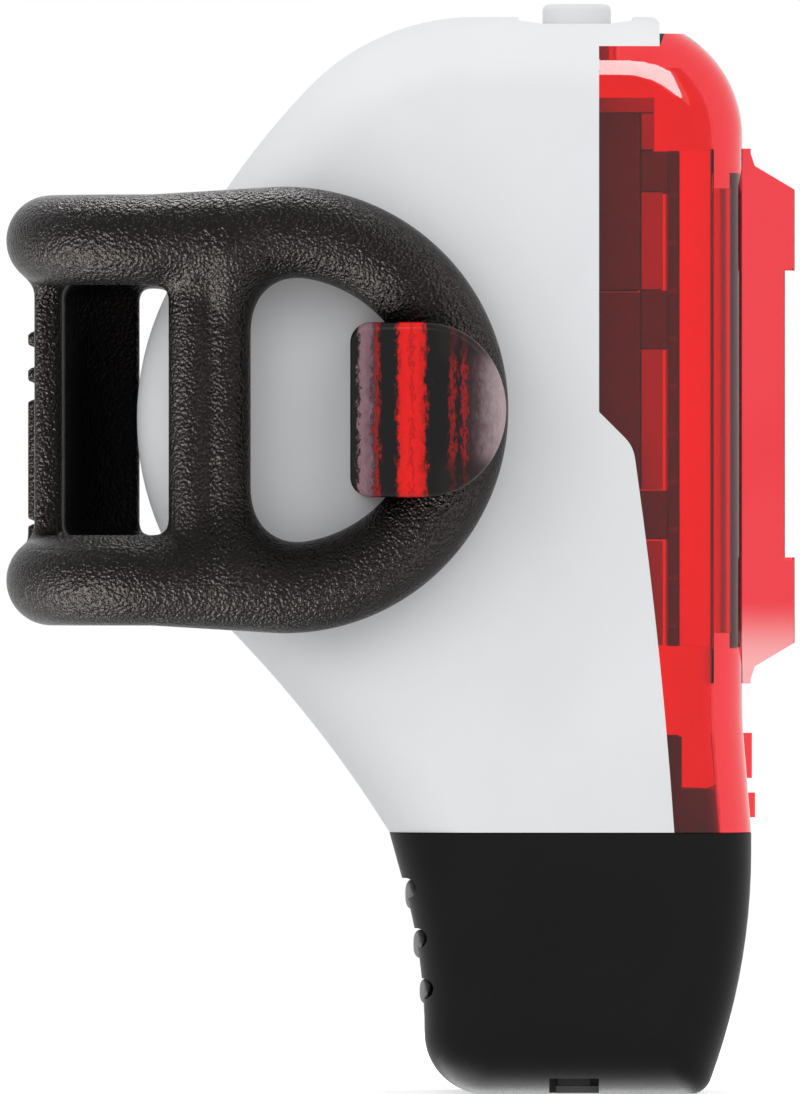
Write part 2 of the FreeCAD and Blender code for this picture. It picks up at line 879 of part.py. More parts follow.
def end_cap():
    cap = slab(cap_wire(), body_width)
    rims = []
    for edge in side_rims(cap, half_width, cap_base_z):
        if edge.BoundBox.ZMin < body_base_z - cap_top_gap - tiny:
            rims.append(edge)
    cap = cap.makeFillet(cap_edge_radius, rims)
    top_z = body_base_z
    room = neck_block(neck_gap, body_base_z - neck_depth - neck_gap, top_z)
    bore = plug_hole(cap_bore_gap, body_base_z - cap_bore_depth, top_z)
    cap = cap.cut(room).cut(bore)
    for x, z in notch_places():
        groove = Part.makeCylinder(notch_radius, body_width, Vector(x, -half_width, z), Vector(0, 1, 0))
        cap = cap.cut(groove)
        for y in (-half_width, half_width):
            start = Vector(x + notch_scoop_inset + notch_radius, y, z - notch_scoop_drop)
            cap = cap.cut(Part.makeSphere(notch_scoop, start))
    cap = cap.cut(cap_slot())
    return cap.removeSplitter()


def cap_slot():
    x = (plug_x - cap_slot_length / 2, plug_x + cap_slot_length / 2)
    return box(x, across(body_width + spare), (cap_base_z - spare, cap_base_z + cap_slot_depth))


def slot_insert():
    """Light strip laid in the slot under the cap."""
    x = (plug_x - slot_insert_length / 2, plug_x + slot_insert_length / 2)
    high_z = cap_base_z + cap_slot_depth
    return box(x, across(body_width - 2 * cap_edge_radius), (high_z - slot_insert_thick, high_z))


def rail_run():
    """Start, end and direction of the straight stretch of the upper rail, near side."""
    slant = math.radians(rail_slant)
    start = Vector(ring_x - ring_radius * math.sin(slant), -strap_y, ring_radius * math.cos(slant))
    length = (start.x - corner_centre_x()) / math.cos(slant)
    way = Vector(-math.cos(slant), 0, -math.sin(slant))
    return start, start + way * length, way, length


def loop_front():
    """Near half-ring with its two rails and double crossbar."""
    sweep = 90 + rail_slant
    ring = Part.makeTorus(ring_radius, strap_radius, Vector(0, 0, 0), Vector(0, 0, 1), -180, 180,
                          2 * sweep)
    ring.rotate(Vector(0, 0, 0), Vector(0, 0, 1), -sweep)
    ring.rotate(Vector(0, 0, 0), Vector(1, 0, 0), 90)
    ring.translate(Vector(ring_x, -strap_y, 0))
    start, end, way, length = rail_run()
    pieces = []
    for side in (1, -1):
        origin = Vector(start.x, start.y, side * start.z)
        heading = Vector(way.x, way.y, side * way.z)
        pieces.append(Part.makeCylinder(strap_radius, length + tiny, origin, heading))
    for x in (bar_inner_x, bar_outer_x):
        low = Vector(x, -strap_y, -ring_radius)
        pieces.append(Part.makeCylinder(bar_radius, 2 * ring_radius, low))
    return ring.fuse(pieces)


def corner_centre_x():
    return strap_back_x + strap_corner


def loop_cut_x():
    """Where the near ring's stretch starts, just ahead of the crossbar."""
    return bar_inner_x + bar_radius + loop_cut_ahead


def strap_loop():
    """The part of the strap that is pulled off the near hook."""
    keep = box((loop_cut_x() + loop_gap, reach), (-reach, reach), (-reach, reach))
    return loop_front().common(keep).removeSplitter()


def strap_corner_piece(z, side):
    """Quarter bend of a rail, round the back of the post."""
    ring = Part.makeTorus(strap_corner, strap_radius, Vector(0, 0, 0), Vector(0, 0, 1), -180, 180, 90)
    ring.rotate(Vector(0, 0, 0), Vector(0, 0, 1), 180)
    ring.translate(Vector(corner_centre_x(), -(strap_y - strap_corner), z))
    return ring if side < 0 else mirrored(ring)


def panel():
    """Web between the rails, behind the post and round the far side."""
    straight = strap_y - strap_corner
    high = rail_run()[1].z
    x = (strap_back_x - panel_inset - panel_thick / 2, strap_back_x - panel_inset + panel_thick / 2)
    flat = box(x, (-straight, straight), (-high, high))
    outer = corner_centre_x() - x[0]
    inner = corner_centre_x() - x[1]
    base = Vector(corner_centre_x(), straight, -high)
    bend = Part.makeCylinder(outer, 2 * high, base, Vector(0, 0, 1), panel_far_angle)
    bend = bend.cut(Part.makeCylinder(inner, 2 * high, base))
    bend.rotate(base, Vector(0, 0, 1), 180 - panel_far_angle)
    return flat.fuse(bend)


def grip_bars():
    """Plain raised bars across the back of the strap."""
    low_x = strap_back_x - panel_inset - panel_thick / 2 - grip_bar_stand
    bars = []
    for high_z, low_z in grip_bar_levels:
        x = (low_x, low_x + grip_bar_stand + grip_bar_sink)
        bars.append(box(x, across(grip_bar_width), (low_z, high_z)))
    return bars


def strap_band():
    """The strap from the near crossbar, round the post, to the far hook."""
    high = rail_run()[1].z
    straight = strap_y - strap_corner
    near_rails = loop_front().common(box((-reach, loop_cut_x()), (-reach, reach), (-reach, reach)))
    pieces = [near_rails, panel()] + grip_bars()
    for z in (high, -high):
        pieces.append(strap_corner_piece(z, -1))
        pieces.append(strap_corner_piece(z, 1))
        start = Vector(strap_back_x, -straight, z)
        pieces.append(Part.makeCylinder(strap_radius, 2 * straight, start, Vector(0, 1, 0)))
    band = mirrored(loop_front()).fuse(pieces)
    return band.removeSplitter()


def hook_spigot(grow, outer_y):
    """Stub of the near hook that passes through the shell's side."""
    middle = (hook_back_x + hook_neck_front()) / 2
    x = (middle - hook_spigot_length / 2 - grow, middle + hook_spigot_length / 2 + grow)
    high = hook_spigot_height / 2 + grow
    return box(x, (-outer_y - tiny, -inner_half + collar_gap - grow), (-high, high))


def hook_neck_front():
    return ring_x + ring_radius - strap_radius - hook_gap


def hook_lower_y(x):
    """Underside of the hook's plate, along which the stretched ring slides off."""
    lift = math.radians(hook_lift_angle)
    ring_top = strap_y + strap_radius / math.cos(lift) + hook_lift_gap
    return -(ring_top + (x - ring_x - ring_radius) * math.tan(lift))


def hook_nose():
    """Rounded front half of the hook, seen from the side."""
    high = hook_height / 2
    ellipse = Part.Ellipse(Vector(0, 0, 0), high, hook_tip_x - hook_nose_x).toShape()
    nose = Part.Face(Part.Wire(ellipse)).extrude(Vector(0, 0, body_width))
    nose.rotate(Vector(0, 0, 0), Vector(0, 0, 1), 90)
    nose.rotate(Vector(0, 0, 0), Vector(1, 0, 0), 90)
    nose.translate(Vector(hook_nose_x, -half_width, 0))
    return nose.common(box((hook_nose_x - tiny, reach), (-reach, 0), (-reach, reach)))


def hook_blank():
    high = hook_height / 2
    y = (-half_width - body_width, -half_width)
    back = box((hook_back_x, hook_nose_x), y, (-high, high))
    corners = []
    for edge in back.Edges:
        room = edge.BoundBox
        if room.YLength > body_width - tiny and room.XMax < hook_back_x + tiny:
            corners.append(edge)
    back = back.makeFillet(hook_corner, corners)
    return back.fuse(hook_nose())


def hook_plate():
    """Leaning plate over the ring, domed outside."""
    high = hook_height
    low_y = hook_lower_y(hook_back_x)
    tip_y = hook_lower_y(hook_tip_x)
    dome_y = (low_y + tip_y) / 2 - hook_thick - hook_dome
    far = Vector(hook_tip_x + spare, hook_lower_y(hook_tip_x + spare), 0)
    outer_near = Vector(hook_back_x - spare, low_y - hook_thick, 0)
    outer_far = Vector(far.x, far.y - hook_thick / 2, 0)
    crown = Vector((hook_back_x + hook_tip_x) / 2, dome_y, 0)
    start = Vector(hook_back_x - spare, hook_lower_y(hook_back_x - spare), 0)
    edges = [Part.LineSegment(start, far).toShape(), Part.LineSegment(far, outer_far).toShape(),
             Part.Arc(outer_far, crown, outer_near).toShape(),
             Part.LineSegment(outer_near, start).toShape()]
    face = Part.Face(Part.Wire(edges))
    shape = face.extrude(Vector(0, 0, 2 * high))
    shape.translate(Vector(0, 0, -high))
    return shape


def outer_rim(plate):
    """Edges round the domed face of the hook's plate."""
    rim = []
    for edge in plate.Edges:
        middle = edge.valueAt((edge.FirstParameter + edge.LastParameter) / 2)
        if middle.y < hook_lower_y(middle.x) - hook_thick / 3 and edge.BoundBox.YLength < hook_thick / 2:
            rim.append(edge)
    return rim


def strap_hook():
    """Near hook: plate, neck, stub through the shell, and the hole for its screw."""
    blank = hook_blank()
    plate = blank.common(hook_plate()).removeSplitter()
    plate = plate.makeFillet(hook_edge_round, outer_rim(plate))
    bore = Part.makeCylinder(hook_neck_front() - ring_x, 2 * body_width, Vector(ring_x, 0, 0),
                             Vector(0, -1, 0))
    depth = (hook_lower_y(hook_neck_front()) - tiny, -half_width)
    deep = box((0, reach), depth, (-reach, reach))
    neck = blank.common(bore).common(deep)
    hook = plate.fuse([neck, hook_spigot(0, half_width)])
    hole = Part.makeCylinder(screw_radius + screw_fit, screw_bite + screw_fit, screw_base(),
                             Vector(0, -1, 0))
    return hook.cut(hole).removeSplitter()


def screw_base():
    middle = (hook_back_x + hook_neck_front()) / 2
    return Vector(middle, -inner_half + collar_gap, 0)


def hook_screw():
    head_base = screw_base() + Vector(0, screw_head_height, 0)
    outward = Vector(0, -1, 0)
    head = Part.makeCylinder(screw_head_radius, screw_head_height, head_base, outward)
    shank = Part.makeCylinder(screw_radius, screw_bite, screw_base(), outward)
    slot = box((head_base.x - screw_slot / 2, head_base.x + screw_slot / 2),
               (head_base.y - screw_slot, head_base.y + tiny), across(screw_head_radius * 3))
    return head.fuse(shank).cut(slot)


def save(name, shape):
    count = len(shape.Solids)
    print(name, "solids", count, "volume", round(shape.Volume, 3), "valid", shape.isValid())
    shape.exportStep("parts/" + name + ".step")


def main():
    os.makedirs("parts", exist_ok=True)
    blank = body_blank()
    cavity = body_cavity()
    hook = strap_hook()
    screw = hook_screw()
    pieces = {
        "main_shell": main_shell(blank, cavity),
        "lens_cover": lens_cover(blank, cavity),
        "optic_block": optic_block(),
        "optic_gasket": optic_gasket(),
        "power_button": power_button(),
        "switch_body": switch_body(),
        "switch_plunger": switch_plunger(),
        "switch_board": switch_board(),
        "board_link": board_link(),
        "chassis_upper": chassis_part(chassis_split_z + inside_gap, switch_board_low_z - inside_gap),
        "chassis_lower": chassis_part(chassis_bottom_z, chassis_split_z - inside_gap),
        "main_board": main_board(),
        "board_chips": board_chips(),
        "battery_cell": battery_cell(),
        "battery_leads": battery_leads(),
        "driver_blocks": block_strip(driver_thick, 0),
        "carrier_blocks": block_strip(carrier_thick, 1),
        "led_board": led_board(),
        "led_packages": led_packages(),
        "reflector": reflector(),
        "plug_collar": plug_collar(cavity),
        "collar_seal": seal_ring(neck_gap - seal_grip_gap),
        "usb_plug_shell": usb_plug_shell(),
        "usb_tongue": usb_tongue(),
        "usb_contacts": usb_contacts(),
        "end_cap": end_cap(),
        "slot_insert": slot_insert(),
        "strap_loop": strap_loop(),
        "strap_band": strap_band(),
        "strap_hook_near": hook,
        "strap_hook_far": mirrored(hook),
        "hook_screws": Part.makeCompound([screw, mirrored(screw)]),
    }
    for name, shape in pieces.items():
        save(name, shape)


main()
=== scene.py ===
import math

import bpy
import numpy as np
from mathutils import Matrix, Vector


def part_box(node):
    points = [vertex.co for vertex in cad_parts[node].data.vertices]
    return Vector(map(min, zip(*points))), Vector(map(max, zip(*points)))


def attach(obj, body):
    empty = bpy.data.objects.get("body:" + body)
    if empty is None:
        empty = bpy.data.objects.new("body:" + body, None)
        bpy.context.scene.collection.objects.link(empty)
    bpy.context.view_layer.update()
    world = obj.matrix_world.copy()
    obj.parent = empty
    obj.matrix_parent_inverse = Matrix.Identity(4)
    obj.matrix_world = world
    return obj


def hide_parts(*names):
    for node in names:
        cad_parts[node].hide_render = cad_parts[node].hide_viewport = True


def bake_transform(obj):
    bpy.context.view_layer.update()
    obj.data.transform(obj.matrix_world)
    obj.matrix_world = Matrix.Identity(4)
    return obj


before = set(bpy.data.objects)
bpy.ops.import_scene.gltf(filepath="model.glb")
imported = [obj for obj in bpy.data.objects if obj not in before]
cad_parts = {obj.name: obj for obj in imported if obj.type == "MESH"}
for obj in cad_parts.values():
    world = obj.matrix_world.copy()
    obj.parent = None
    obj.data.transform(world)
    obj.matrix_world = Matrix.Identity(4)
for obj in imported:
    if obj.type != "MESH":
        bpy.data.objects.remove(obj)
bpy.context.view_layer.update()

MM = 0.001

# Photograph: its size, how many of its pixels a millimetre takes, and the light's origin in it
PHOTO_WIDTH = 800
PHOTO_HEIGHT = 1094
PIXELS_PER_MM = 17.0
ORIGIN_PIXEL_X = 148.2
ORIGIN_PIXEL_Y = 411.0

# Camera: a lens so long that it shows the light nearly without perspective, as the photograph does
CAMERA_LENS = 1150.0
CAMERA_SENSOR = 36.0
CAMERA_CLIP = (0.5, 3.0)

# Strap, in millimetres, where the frame has its plain solids
RING_X = 8.1
RING_RADIUS = 10.4
STRAP_RADIUS = 2.64
STRAP_Y = 15.5
RAIL_SLANT = math.radians(3.5)
STRAP_BACK_X = -5.6
STRAP_CORNER = 6.0
BAR_RADIUS = 1.45
BAR_PLACES = (4.65, 2.75)
BAR_END = 8.4
PANEL_THICK = 1.65
PANEL_INSET = 0.18
PANEL_ROUND = 0.5
PANEL_FAR_ANGLE = math.radians(80.0)
GRIP_BAR_STAND = 0.4
GRIP_BAR_WIDTH = 12.0
GRIP_BAR_ROUND = 0.18
GRIP_BARS = ((4.6, 3.8), (2.5, 1.7), (0.6, -6.4), (-6.7, -7.6))

# Fillets where the strap's forms meet, in millimetres of reach. The one between the tube and the
# crossbars widens ahead of them.
BAR_FILLET = 0.15
CROSS_FILLET = 1.0
CROSS_FILLET_GROWTH = 2.2
CROSS_FILLET_START_X = 2.2
CROSS_FILLET_SPAN = 2.6
PANEL_FILLET = 0.8
GRIP_BAR_FILLET = 0.25

# Net over the strap: its cells' size and the step that its slope is measured with, in millimetres,
# and the least squared slope that it reckons with
SKIN_STEP = 0.26
SLOPE_STEP = 0.01
LEAST_SLOPE = 0.25

# Finger grips in the cap's grooves, as middle X and Z and half sizes, how far they end inside it, the
# power that swells their section, less of it for squarer corners, and the rings and sides of their net
CAP_GRIPS = ((15.62, -28.42, 0.5, 0.86), (16.1, -31.34, 0.5, 0.82), (16.42, -34.12, 0.45, 0.72))
GRIP_END_GAP = 3.7
GRIP_SWELL = 0.75
GRIP_RINGS = 41
GRIP_SIDES = 32

# Slot under the cap: how far its black block of painted shade and the pale strip in its foot end from its
# walls and sides
SLOT_SHADE_AND_STRIP_SPARE = 0.48
SLOT_SHADE_INSET = 0.6
SLOT_STRIP_INSET = 0.1
SLOT_STRIP_BACK = 0.1
SLOT_STRIP_FOOT = 0.06

# Lens block: the heights between which its lower hump pales to pink, a painted reflection of the white
# floor
PAINTED_REFLECTION_HUMP = (-11.0, -15.0)

# Hooks: where their ruby starts and ends, and its bands between as shares of that: painted light on the
# near-black ruby, with painted pinkish reflections, bright red where light is painted as shining through,
# and a paler painted rim highlight towards the tip
HOOK_BACK_X = 11.9
HOOK_TIP_X = 21.0
HOOK_PAINTED_LIGHT_BANDS = (
    (0.0, "#060505"), (0.05, "#060505"), (0.065, "#98747E"), (0.13, "#7A5A64"), (0.158, "#2A1618"),
    (0.168, "#B01418"), (0.178, "#A81418"), (0.19, "#080505"), (0.3, "#080505"), (0.32, "#EC1410"),
    (0.385, "#FF1612"), (0.398, "#7A0C0C"), (0.406, "#FF1612"), (0.465, "#E01210"), (0.495, "#080505"),
    (0.635, "#0C0808"), (0.655, "#B01418"), (0.68, "#140A0C"), (0.715, "#1C1012"), (0.73, "#C01418"),
    (0.755, "#241618"), (0.82, "#5A4248"), (0.98, "#BCA8AC"))

# Hooks: where the part with painted glints, the strap's highlights painted as if seen through the ruby,
# begins along X, over which heights these painted glints give way to the dark and how far the painted bands
# are torn, in millimetres, and the dark's share beyond those heights
HOOK_PAINTED_GLINTS_X = (16.8, 17.4)
HOOK_PAINTED_GLINTS_RISE = (2.4, 3.6)
HOOK_TEAR = 2.2
HOOK_DARK_SHARE = 0.8

# Lamps as name, place, width and height in metres, and watts. The front ones light everything, and
# the others show only in the gloss of the strap, the cap or the cover.
LAMP_TARGET = (0.015, 0.0, -0.008)
FRONT_LAMPS = (("front_left_lamp", (-0.24, -0.46, 0.24), (0.26, 0.26), 0.28),
               ("front_right_lamp", (0.22, -0.46, 0.28), (0.26, 0.26), 0.28))
STRAP_LAMPS = (("low_left_lamp", (-0.17, -0.09, -0.16), (0.22, 0.22), 3.8),
               ("low_right_lamp", (0.22, -0.11, -0.12), (0.16, 0.22), 0.8),
               ("high_right_lamp", (0.26, -0.03, 0.18), (0.16, 0.16), 0.8),
               ("top_lamp", (0.0, 0.26, 0.38), (0.24, 0.24), 2.2))
CAP_LAMPS = (("under_lamp", (-0.10, 0.24, -0.40), (0.50, 0.50), 4.0),)
COVER_LAMPS = (("lens_edge_lamp", (0.04, -0.40, 0.24), (0.44, 0.20), 5.4),)

# World and floor: how bright the world is to dull surfaces, how much the floor adds of its own where
# it is seen, and the floor's radius, sides and gap under the cap in millimetres
WORLD_STRENGTH = 0.92
FLOOR_GLOW = 0.6
FLOOR_RADIUS = 350.0
FLOOR_SIDES = 96
FLOOR_GAP = 0.02


def linear(colour):
    """Linear red, green, blue and alpha of an sRGB hex colour."""
    parts = [int(colour[i:i + 2], 16) / 255 for i in (1, 3, 5)]
    return [p / 12.92 if p <= 0.04045 else ((p + 0.055) / 1.055) ** 2.4 for p in parts] + [1.0]


def per_metre(size_mm):
    """Scale of a pattern whose marks are that many millimetres apart."""
    return 1.0 / (size_mm * MM)


def add(tree, kind, values=None, links=None, **settings):
    """Adds a node. Settings are its own choices, values fill its sockets, links join them to outputs."""
    made = tree.nodes.new(kind)
    for name, value in settings.items():
        setattr(made, name, value)
    for name, value in (values or {}).items():
        made.inputs[name].default_value = value
    for name, source in (links or {}).items():
        tree.links.new(source, made.inputs[name])
    return made


def material(name):
    """An empty material, its node tree and its output node."""
    made = bpy.data.materials.new(name)
    made.use_nodes = True
    made.node_tree.nodes.clear()
    return made, made.node_tree, made.node_tree.nodes.new("ShaderNodeOutputMaterial")


def moulded(name, colour, roughness, grain, depth, tone="#808080", tone_share=0.06, **shader):
    """A finish with a fine grain, whose size and depth are in millimetres, that drifts slowly towards
    a second tone."""
    made, tree, output = material(name)
    place = add(tree, "ShaderNodeTexCoord").outputs["Object"]
    drift = add(tree, "ShaderNodeTexNoise", {"Scale": per_metre(7.0), "Detail": 3.0}, {"Vector": place})
    share = add(tree, "ShaderNodeMapRange", {"From Min": 0.35, "From Max": 0.65, "To Max": tone_share},
                {"Value": drift.outputs["Fac"]})
    mix = add(tree, "ShaderNodeMix", {6: linear(colour), 7: linear(tone)},
              {0: share.outputs["Result"]}, data_type="RGBA")
    grit = add(tree, "ShaderNodeTexNoise", {"Scale": per_metre(grain), "Detail": 4.0, "Roughness": 0.6},
               {"Vector": place})
    gloss = add(tree, "ShaderNodeMapRange",
                {"From Min": 0.3, "From Max": 0.7, "To Min": roughness * 0.85, "To Max": roughness * 1.15},
                {"Value": grit.outputs["Fac"]})
    bump = add(tree, "ShaderNodeBump", {"Strength": 0.6, "Distance": depth * MM},
               {"Height": grit.outputs["Fac"]})
    values = {word.replace("_", " ").title(): value for word, value in shader.items()}
    values = {key.replace("Ior", "IOR"): value for key, value in values.items()}
    face = add(tree, "ShaderNodeBsdfPrincipled", values,
               {"Base Color": mix.outputs[2], "Roughness": gloss.outputs["Result"],
                "Normal": bump.outputs["Normal"]})
    tree.links.new(face.outputs["BSDF"], output.inputs["Surface"])
    return made


def white_shell_plastic():
    # White polycarbonate and ABS blend, moulded satin: a clean cool white with a very faint grain
    return moulded("white_satin_pc_abs", "#E8E9EB", roughness=0.5, grain=0.25, depth=0.004,
                   tone="#DADBDC", tone_share=0.25, ior=1.55, specular_ior_level=0.1)


def white_button_rubber():
    # White silicone skin over the button: softer and a little duller than the shell
    return moulded("white_silicone_button", "#E2E3E4", roughness=0.5, grain=0.2, depth=0.005,
                   tone="#D2D3D4", tone_share=0.3, ior=1.42)


def black_cap_plastic():
    # Black ABS with a fine spark-eroded texture: even charcoal that stays dark but for its grazing edges
    return moulded("black_spark_eroded_abs", "#161616", roughness=0.4, grain=0.18, depth=0.006,
                   tone="#1A1A1A", tone_share=0.5, ior=1.5, specular_ior_level=0.08)


def black_collar_plastic():
    # Glass-filled black nylon of the base collar: dull, faintly fibrous
    return moulded("black_glass_filled_nylon", "#151515", roughness=0.5, grain=0.3, depth=0.01,
                   tone="#1F1E1D", tone_share=0.5, ior=1.53)


def dark_frame_plastic():
    # Dark brown-grey ABS of the inner frame, moulded matt
    return moulded("dark_matt_abs_frame", "#38302E", roughness=0.6, grain=0.3, depth=0.008,
                   tone="#403735", tone_share=0.4, ior=1.53)


def grey_carrier_plastic():
    # Warm grey nylon of the carriers that hold the lamps' board
    return moulded("grey_nylon_carrier", "#9C9492", roughness=0.55, grain=0.3, depth=0.008,
                   tone="#8E8684", tone_share=0.4, ior=1.53)


def white_reflector_plastic():
    # White polycarbonate loaded with titanium oxide: very bright and diffuse, as reflectors are
    return moulded("white_reflector_pc", "#F2F2F0", roughness=0.45, grain=0.4, depth=0.003,
                   tone="#E6E6E2", tone_share=0.3, ior=1.58)


def black_silicone():
    # Black silicone of the gasket and seal: dull with a soft sheen
    return moulded("black_silicone_seal", "#191919", roughness=0.6, grain=0.25, depth=0.006,
                   tone="#242424", tone_share=0.5, ior=1.42)


def grey_insert_plastic():
    # Mid-grey polypropylene strip laid in the slot under the cap
    return moulded("grey_polypropylene_insert", "#8C8C8A", roughness=0.45, grain=0.3, depth=0.006,
                   tone="#7A7A78", tone_share=0.4, ior=1.49)


def white_tongue_plastic():
    # White PBT of the plug's tongue: hard, smooth and slightly warm
    return moulded("white_pbt_tongue", "#E4E2DA", roughness=0.4, grain=0.3, depth=0.004,
                   tone="#D6D3C8", tone_share=0.3, ior=1.55)


def chip_epoxy():
    # Black filled epoxy of the chips: matt with a fine grit
    return moulded("black_chip_epoxy", "#1C1C1E", roughness=0.65, grain=0.12, depth=0.004,
                   tone="#2A2A2C", tone_share=0.5, ior=1.55)


def cell_wrap():
    # Shrunk PET film round the cell: smooth steel-blue with a clear gloss
    return moulded("blue_pet_cell_wrap", "#5C7486", roughness=0.3, grain=1.2, depth=0.01,
                   tone="#4E6474", tone_share=0.5, ior=1.57, coat_weight=0.3)


def plated_steel():
    # Nickel-plated pressed steel of the plug and screws: bright, with faint drawing marks
    return moulded("nickel_plated_steel", "#C9C7C2", roughness=0.24, grain=0.5, depth=0.003,
                   tone="#AFADA8", tone_share=0.4, metallic=1.0)


def gilt_contact():
    # Gold-plated copper strips: warm and bright
    return moulded("gold_plated_contact", "#E3B45C", roughness=0.25, grain=0.4, depth=0.002,
                   tone="#CF9C44", tone_share=0.3, metallic=1.0)


def pvc_lead():
    # Extruded PVC sleeve of the leads: smooth saturated red
    return moulded("red_pvc_lead", "#B3211C", roughness=0.4, grain=0.3, depth=0.004,
                   tone="#9A1A16", tone_share=0.3, ior=1.53)


def lamp_ceramic():
    # White ceramic case of the light-emitting diodes under a clear silicone dome
    return moulded("white_lamp_ceramic", "#EDECE6", roughness=0.35, grain=0.2, depth=0.003,
                   tone="#E3DFC8", tone_share=0.4, ior=1.5, coat_weight=0.5)


def board_laminate():
    # Glass-fibre board under green solder mask, with paler copper tracks about 0.5 mm apart
    made, tree, output = material("green_solder_mask")
    place = add(tree, "ShaderNodeTexCoord").outputs["Object"]
    turned = add(tree, "ShaderNodeMapping", {"Rotation": (0.0, math.pi / 2, 0.0)}, {"Vector": place})
    tracks = add(tree, "ShaderNodeTexBrick",
                 {"Scale": per_metre(4.0), "Mortar Size": 0.04, "Brick Width": 0.7, "Row Height": 0.2,
                  "Color1": linear("#1D5A36"), "Color2": linear("#236841"), "Mortar": linear("#3C8A58")},
                 {"Vector": turned.outputs["Vector"]})
    bump = add(tree, "ShaderNodeBump", {"Strength": 0.5, "Distance": 0.02 * MM},
               {"Height": tracks.outputs["Fac"]})
    face = add(tree, "ShaderNodeBsdfPrincipled", {"Roughness": 0.35, "IOR": 1.52, "Coat Weight": 0.3},
               {"Base Color": tracks.outputs["Color"], "Normal": bump.outputs["Normal"]})
    tree.links.new(face.outputs["BSDF"], output.inputs["Surface"])
    return made


def clear_red(name, colour, deep, roughness, ripple, ior):
    """Clear tinted plastic whose tint drifts between two depths and whose face ripples by so many
    millimetres."""
    made, tree, output = material(name)
    place = add(tree, "ShaderNodeTexCoord").outputs["Object"]
    flow = add(tree, "ShaderNodeTexNoise", {"Scale": per_metre(9.0), "Detail": 2.0}, {"Vector": place})
    share = add(tree, "ShaderNodeMapRange", {"From Min": 0.35, "From Max": 0.65},
                {"Value": flow.outputs["Fac"]})
    mix = add(tree, "ShaderNodeMix", {6: linear(colour), 7: linear(deep)},
              {0: share.outputs["Result"]}, data_type="RGBA")
    bump = add(tree, "ShaderNodeBump", {"Strength": 0.5, "Distance": ripple * MM},
               {"Height": flow.outputs["Fac"]})
    face = add(tree, "ShaderNodeBsdfPrincipled",
               {"Transmission Weight": 1.0, "Roughness": roughness, "IOR": ior,
                "Coat Weight": 1.0, "Coat IOR": 1.4, "Coat Roughness": 0.03},
               {"Base Color": mix.outputs[2], "Normal": bump.outputs["Normal"]})
    tree.links.new(face.outputs["BSDF"], output.inputs["Surface"])
    return made


def red_cover_plastic():
    # Clear red polycarbonate of the cover, polished: bright even red where white shows through it
    return clear_red("clear_red_polycarbonate", "#F43A42", "#F43038",
                     roughness=0.04, ripple=0.01, ior=1.06)


def red_optic_plastic():
    # Clear red acrylic of the lens block, moulded thick and polished, with a pale pink painted reflection
    # of the white floor over its lower hump
    made = clear_red("clear_red_acrylic_optic", "#F03844", "#EE2C38",
                     roughness=0.08, ripple=0.01, ior=1.2)
    tree = made.node_tree
    face = tree.nodes["Principled BSDF"]
    place = add(tree, "ShaderNodeTexCoord").outputs["Object"]
    height = add(tree, "ShaderNodeSeparateXYZ", {}, {"Vector": place})
    share = add(tree, "ShaderNodeMapRange",
                {"From Min": PAINTED_REFLECTION_HUMP[0] * MM, "From Max": PAINTED_REFLECTION_HUMP[1] * MM, "To Max": 0.7},
                {"Value": height.outputs["Z"]}, interpolation_type="SMOOTHSTEP")
    # Painted reflection: the lower hump pales towards pink downwards
    painted_reflection = add(tree, "ShaderNodeMix", {7: linear("#FFC8C8")},
               {0: share.outputs["Result"], 6: face.inputs["Base Color"].links[0].from_socket},
               data_type="RGBA")
    tree.links.new(painted_reflection.outputs[2], face.inputs["Base Color"])
    return made


